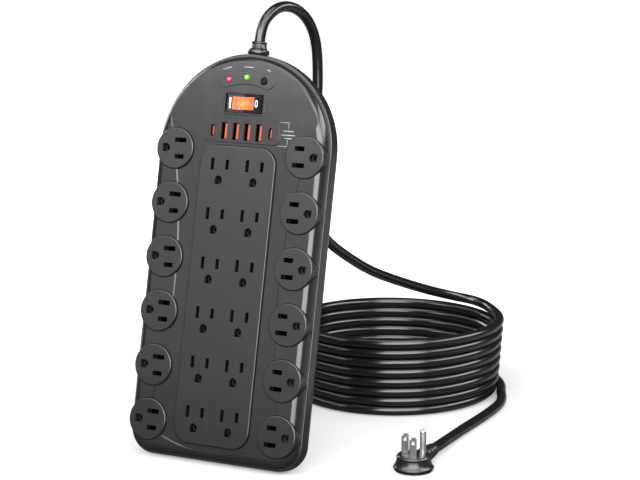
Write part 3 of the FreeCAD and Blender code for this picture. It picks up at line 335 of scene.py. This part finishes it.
MATERIALS = {
    "case": moulded("charcoal_plastic", CHARCOAL, 0.22, strength=0.06),
    "outlet_face": moulded("charcoal_face_plastic", CHARCOAL, 0.25, strength=0.06),
    "switch_black": moulded("black_plastic", (0.006, 0.006, 0.0062), 0.20, 1800, 0.06),
    "black_cap": moulded("black_cap", (0.003, 0.003, 0.003), 0.3,
                         strength=0.05, Specular_IOR_Level=0.08),
    "amber_lens": glowing("amber_lens", (0.22, 0.05, 0.02), (0.98, 0.47, 0.15),
                          (0.42, 0.05, 0.015), 0.66, node_middle("rocker_lens"), LENS_REACH,
                          mottle=0.5),
    "brass": metal("brass_strip", (0.055, 0.040, 0.022), 0.45),
    # a copy of the brass darkened to near black: painted shade for the contacts deep in the slots
    "brass_in_painted_shade": metal("brass_in_painted_shade", (0.0035, 0.0028, 0.002), 0.6),
    "nickel": metal("nickel_plate", (0.62, 0.62, 0.61), 0.36, brush=(1, 1, 0.08)),
    # the port shells' metal darkened to near black: painted shade inside the ports
    "port_shell_painted_shade": metal("port_shell_painted_shade", (0.012, 0.010, 0.010), 0.4),
    "steel": metal("zinc_steel", (0.45, 0.45, 0.46), 0.35),
    # the insulator darkened to near black where it shows through the slots: painted shade
    "insulator": moulded("insulator_plastic_painted_shade", (0.008, 0.0075, 0.006), 0.6),
    "board": moulded("green_board", (0.02, 0.10, 0.04), 0.35, grain=900),
    "orange_plastic": moulded("orange_plastic", (0.21, 0.036, 0.013), 0.4, Specular_IOR_Level=0.2),
    "red_lens": glowing("red_lens", (0.16, 0.005, 0.01), (0.95, 0.24, 0.30), (0.10, 0.002, 0.006),
                        0.62, on_case(*lamp_spot(RED_LAMP), LAMP_MIDDLE), LAMP_REACH),
    "green_lens": glowing("green_lens", (0.05, 0.12, 0.01), (0.52, 0.90, 0.20),
                          (0.04, 0.11, 0.006), 0.62,
                          on_case(*lamp_spot(GREEN_LAMP), LAMP_MIDDLE), LAMP_REACH),
    "lamp_glass": principled("lamp_glass", (0.95, 0.75, 0.5), 0.05, Alpha=0.4)[0],
    "component_blue": moulded("blue_epoxy", (0.03, 0.10, 0.35), 0.3),
    "component_grey": moulded("grey_core", (0.16, 0.16, 0.15), 0.5),
    "cord_sheath": moulded("black_cord_sheath", (0.0028, 0.0028, 0.003), 0.22, 300, 0.01),
    "moulded_rubber": moulded("black_rubber", (0.0045, 0.0045, 0.0047), 0.27, 1600, 0.06),
    "print_white": moulded("white_print", (0.60, 0.60, 0.60), 0.5),
    "print_grey": moulded("grey_print", (0.15, 0.15, 0.15), 0.5),
}


def dress(obj, slot):
    obj.data.materials.clear()
    obj.data.materials.append(MATERIALS[slot])


for part in frame["record"]["subparts"]:
    dress(frame["nodes"][part["node"]], part["material_slot"])

# Painted shade: inside the openings the contacts and the port shells take darker copies of their metals. The
# button is blacker plastic than its slot's, its own colour.
dress(frame["nodes"]["test_button"], "black_cap")
for name, node in frame["nodes"].items():
    if name.startswith("bus_") and name.endswith(("_hot", "_neutral")):
        dress(node, "brass_in_painted_shade")
# Painted shade: the port shells take the darkened metal.
for name in ("usb_a_shells", "usb_c_shells"):
    dress(frame["nodes"][name], "port_shell_painted_shade")


# ------------------------------------------------- pieces, in millimetres of their own axes

PLUG = Matrix.Translation(Vector((142.3, 15.4, 0.0)) * MM)
PLUG_AXIS_Z = 6.4               # of the boss that the cord goes into
PIVOT = (0.0, 142.3, -7.0)
ROCKER_TILT = 7.0               # at rest, the left end lower
ROCKER = (CASE @ Matrix.Translation(Vector(PIVOT) * MM)
          @ Matrix.Rotation(math.radians(-ROCKER_TILT), 4, "Y"))
ROCKER_MIDDLE = 4.93            # from the pivot up to a print at the rocker's lowest line
ROCKER_RISE = 1.5               # from there to its ends
ROCKER_HALF = 14.56
PRINT_Z = -1.95                 # just proud of the field
INK = 0.08                      # thickness of a print
FINE_LINE, BAR, MARK, THIN_MARK = 0.36, 0.75, 1.3, 0.55


def add_piece(name, builder, place, material, body="root"):
    """Turns a mesh made in millimetres into a piece: in its place, dressed and on its body."""
    bmesh.ops.recalc_face_normals(builder, faces=builder.faces)
    builder.transform(place @ Matrix.Scale(MM, 4))
    for face in builder.faces:
        face.smooth = True
    mesh = bpy.data.meshes.new(name)
    builder.to_mesh(mesh)
    builder.free()
    piece = bpy.data.objects.new(name, mesh)
    bpy.context.scene.collection.objects.link(piece)
    dress(piece, material)
    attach(piece, body)
    return piece


def lathe(builder, profile, axis, centre=(0, 0, 0), steps=64, ring=False):
    """Turns (radius, height) points round the axis, Y or Z: a solid with flat ends, or a ring."""
    rows = []
    for radius, height in profile:
        row = []
        for step in range(steps):
            a = 2 * math.pi * step / steps
            x, y = radius * math.cos(a), radius * math.sin(a)
            place = (x, height, y) if axis == "Y" else (x, y, height)
            row.append(builder.verts.new(Vector(place) + Vector(centre)))
        rows.append(row)
    for low, high in zip(rows, rows[1:] + rows[:1] if ring else rows[1:]):
        for step in range(steps):
            after = (step + 1) % steps
            builder.faces.new((low[step], low[after], high[after], high[step]))
    if not ring:
        builder.faces.new(rows[0])
        builder.faces.new(rows[-1])


def stroke(builder, start, end, width, surface):
    """A printed line from start to end on a surface, which gives its height at an x."""
    a, b = Vector(start), Vector(end)
    side = (b - a).normalized().orthogonal() * width / 2
    corners = [a + side, b + side, b - side, a - side]
    low = [builder.verts.new((c.x, c.y, surface(c.x))) for c in corners]
    high = [builder.verts.new((c.x, c.y, surface(c.x) + INK)) for c in corners]
    builder.faces.new(low[::-1])
    builder.faces.new(high)
    for i in range(4):
        j = (i + 1) % 4
        builder.faces.new((low[i], low[j], high[j], high[i]))


def printed(name, material, lines, width, surface, place, body="root"):
    """Lines of one width as one piece."""
    builder = bmesh.new()
    for start, end in lines:
        stroke(builder, start, end, width, surface)
    add_piece(name, builder, place, material, body)


def field_height(_):
    """The flat field's height, the same at every x."""
    return PRINT_Z


def rocker_height(x):
    """The rocker's shallow vee, from its pivot."""
    return ROCKER_MIDDLE + ROCKER_RISE * abs(x) / ROCKER_HALF


def oval(x, y, half_wide, half_high, steps=20):
    """Short lines round an oval."""
    angles = [2 * math.pi * i / steps for i in range(steps)]
    spots = [(x + half_wide * math.cos(a), y + half_high * math.sin(a)) for a in angles]
    return list(zip(spots, spots[1:] + spots[:1]))


def make_prints():
    bracket = [((31.3, 129.9), (39.7, 129.8)), ((39.7, 129.8), (39.7, 124.4)),
               ((39.6, 116.9), (39.6, 111.9)), ((39.6, 111.9), (31.2, 111.8))]
    printed("port_bracket", "print_grey", bracket, FINE_LINE, field_height, CASE)
    bars = [((35.6, 123.4), (44.3, 123.4)), ((33.7, 120.4), (45.7, 120.4)),
            ((36.7, 118.0), (43.2, 118.0))]
    printed("port_label", "print_grey", bars, BAR, field_height, CASE)
    dashes = [((-21.7, 167.6), (-13.8, 169.6)), ((-3.4, 170.2), (4.4, 170.0)),
              ((16.5, 169.0), (19.7, 167.5))]
    printed("lamp_labels", "print_grey", dashes, BAR, field_height, CASE)
    bar = [((-12.1, -4.2), (-12.1, 4.2))]
    printed("rocker_on_mark", "print_white", bar, MARK, rocker_height, ROCKER, "rocker")
    ring = oval(12.3, 0, 1.1, 2.5)
    printed("rocker_off_mark", "print_white", ring, THIN_MARK, rocker_height, ROCKER, "rocker")


def make_button_ring():
    """A low ring on the lamp panel, round the hole that the test button comes out of."""
    builder = bmesh.new()
    profile = [(2.5, -1.5), (2.5, -1.36), (2.62, -1.30), (3.05, -1.30), (3.2, -1.38), (3.2, -1.5)]
    lathe(builder, profile, "Z", (*lamp_spot(BUTTON), 0), steps=48, ring=True)
    add_piece("button_ring", builder, CASE, "black_cap", "root")


def make_plug():
    """The plug's moulding: a flared foot, a waist and a ridge under the face, and a ribbed boss."""
    builder = bmesh.new()
    wall = [(13.3, 0.0), (14.2, 0.35), (14.6, 0.95), (14.2, 1.25), (14.9, 1.55), (15.35, 2.3),
            (15.5, 3.1), (15.0, 3.75), (14.3, 4.7), (13.6, 6.2), (13.1, 8.0), (12.8, 9.6),
            (12.75, 10.2), (13.15, 10.5), (13.2, 11.2), (12.7, 11.6), (12.45, 12.1), (12.1, 12.5),
            (11.4, 12.7)]
    lathe(builder, wall, "Z", steps=96)
    body = add_piece("plug_moulding", builder, PLUG, "moulded_rubber", "root")
    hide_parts("plug_body")
    builder = bmesh.new()
    boss = [(5.9, 9.0), (5.9, 18.2), (5.95, 18.6), (6.25, 18.9), (6.38, 19.4), (6.38, 20.6),
            (6.25, 21.1), (5.8, 21.4), (6.2, 22.0), (6.15, 23.6), (5.7, 23.9), (5.7, 24.5),
            (6.05, 24.8), (5.95, 26.6), (5.45, 26.9), (5.45, 27.5), (5.75, 27.8), (5.65, 29.6),
            (5.2, 29.9), (5.2, 30.5), (5.5, 30.8), (5.35, 32.6), (4.95, 32.9), (4.95, 33.4),
            (5.2, 33.7), (5.0, 35.6), (4.5, 36.0)]
    lathe(builder, boss, "Y", (0, 0, PLUG_AXIS_Z), steps=48)
    sleeve = add_piece("plug_sleeve", builder, PLUG, "moulded_rubber", "root")
    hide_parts("plug_collar")
    return [body, sleeve]


def make_strain_relief():
    """The grommet at the top of the arch: a collar inside the case, a bead outside and a neck."""
    builder = bmesh.new()
    profile = [(8.2, 166.6), (8.2, 173.3), (6.85, 173.5), (6.85, 181.45), (7.9, 181.5),
               (8.25, 181.9), (8.3, 182.6), (8.3, 183.9), (8.1, 184.6), (7.6, 185.1), (6.7, 185.4),
               (6.35, 185.7), (6.0, 187.2), (5.6, 188.9), (5.5, 189.4), (5.75, 189.7), (5.9, 190.1),
               (5.9, 190.7), (5.75, 191.1), (5.3, 191.4), (4.5, 191.45)]
    lathe(builder, profile, "Y", (0, 0, EXIT_DEPTH))
    grommet = add_piece("cord_grommet", builder, CASE, "moulded_rubber", "root")
    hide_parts("strain_relief")


make_prints()
make_button_ring()
plug_pieces = make_plug()
make_strain_relief()

dress(cord, "cord_sheath")
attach(cord, "root")
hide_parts("cord_lead", "cord_coil", "cord_tail")

# ------------------------------------------------- stage and light, in metres

FLOOR_HALF = 2.2
FLOOR_DROP = 0.0002             # under the object, so that their faces don't meet
FLOOR_NEAR = (0.26, 0.26, 0.26)
FLOOR_FAR = (0.76, 0.76, 0.76)
FLOOR_CHANGE = (0.35, 0.9)      # metres from the middle over which the floor turns lighter
FLOOR_GLOW = (0.30, 0.30, 0.30)
REFLECTED_TONES = (0.03, 0.16)  # the floor in reflections, in front of the object and behind it
REFLECTED_CHANGE = (0.02, 0.20)     # metres back over which it turns from one to the other
REFLECTED_SKY = 0.05
LIGHT_TARGET = (0.02, 0.0, 0.15)
# Each softbox: degrees round the object from its front towards its right, degrees up, metres away,
# width and height, and radiance.
SOFTBOXES = (
    ("face", -25, 32, 1.5, (1.0, 0.44), 9.6),
    ("face_low", -32, 11, 1.5, (0.9, 0.4), 1.1),
    ("key", 24, 20, 2.3, (2.7, 1.5), 11),
    ("key_high", 24, 52, 2.2, (2.2, 0.6), 8),
    ("right_strip", 102, 33, 2.2, (2.6, 0.8), 9),
    ("left_strip", -72, 36, 2.0, (1.4, 0.6), 2.6),
    ("left_rim", -118, 18, 1.6, (0.5, 0.7), 6),
    ("overhead", 10, 80, 1.6, (1.4, 0.8), 4.5),
)


def make_floor():
    """White to the eye, and dark in reflections, most of all in front of the object."""
    mesh = bpy.data.meshes.new("floor")
    builder = bmesh.new()
    bmesh.ops.create_grid(builder, x_segments=8, y_segments=8, size=FLOOR_HALF)
    builder.to_mesh(mesh)
    builder.free()
    floor = bpy.data.objects.new("floor", mesh)
    floor.location = (0, 0, -FLOOR_DROP)
    material, tree, shader = principled("floor", FLOOR_FAR, 0.9, Emission_Strength=1.0)
    away = tree.nodes.new("ShaderNodeVectorMath")
    away.operation = "LENGTH"
    place = tree.nodes.new("ShaderNodeTexCoord").outputs["Object"]
    tree.links.new(place, away.inputs[0])
    far = ranged(tree, away.outputs["Value"], 0, 1, *FLOOR_CHANGE)
    seen = mixed(tree, far, FLOOR_NEAR, FLOOR_FAR)
    split = tree.nodes.new("ShaderNodeSeparateXYZ")
    tree.links.new(place, split.inputs["Vector"])
    behind = ranged(tree, split.outputs["Y"], *REFLECTED_TONES, *REFLECTED_CHANGE)
    path = tree.nodes.new("ShaderNodeLightPath").outputs["Is Glossy Ray"]
    base = tree.nodes.new("ShaderNodeMix")
    base.data_type = "RGBA"
    tree.links.new(path, base.inputs["Factor"])
    tree.links.new(seen, base.inputs["A"])
    tree.links.new(behind, base.inputs["B"])
    tree.links.new(base.outputs["Result"], shader.inputs["Base Color"])
    tree.links.new(mixed(tree, path, FLOOR_GLOW, (0, 0, 0)), shader.inputs["Emission Color"])
    shader.inputs["Specular IOR Level"].default_value = 0.0
    mesh.materials.append(material)
    bpy.context.scene.collection.objects.link(floor)


def make_world():
    """White to the eye and as a light, and nearly dark in reflections."""
    world = bpy.data.worlds.new("studio")
    world.use_nodes = True
    tree = world.node_tree
    background = tree.nodes["Background"]
    background.inputs["Color"].default_value = (1, 1, 1, 1)
    path = tree.nodes.new("ShaderNodeLightPath")
    node = tree.nodes.new("ShaderNodeMapRange")
    node.inputs["To Min"].default_value = 1.0
    node.inputs["To Max"].default_value = REFLECTED_SKY
    tree.links.new(path.outputs["Is Glossy Ray"], node.inputs["Value"])
    tree.links.new(node.outputs["Result"], background.inputs["Strength"])
    bpy.context.scene.world = world


def softbox(name, azimuth, elevation, distance, size, radiance):
    """A soft light that faces the object."""
    a, e = math.radians(azimuth), math.radians(elevation)
    away = Vector((math.sin(a) * math.cos(e), -math.cos(a) * math.cos(e), math.sin(e)))
    data = bpy.data.lights.new(name, "AREA")
    data.shape = "RECTANGLE"
    data.size, data.size_y = size
    data.energy = radiance * math.pi * size[0] * size[1]
    light = bpy.data.objects.new(name, data)
    light.location = Vector(LIGHT_TARGET) + distance * away
    light.rotation_euler = (-away).to_track_quat("-Z", "Y").to_euler()
    bpy.context.scene.collection.objects.link(light)


make_floor()
make_world()
for row in SOFTBOXES:
    softbox(*row)
bpy.context.scene.view_settings.view_transform = "Standard"
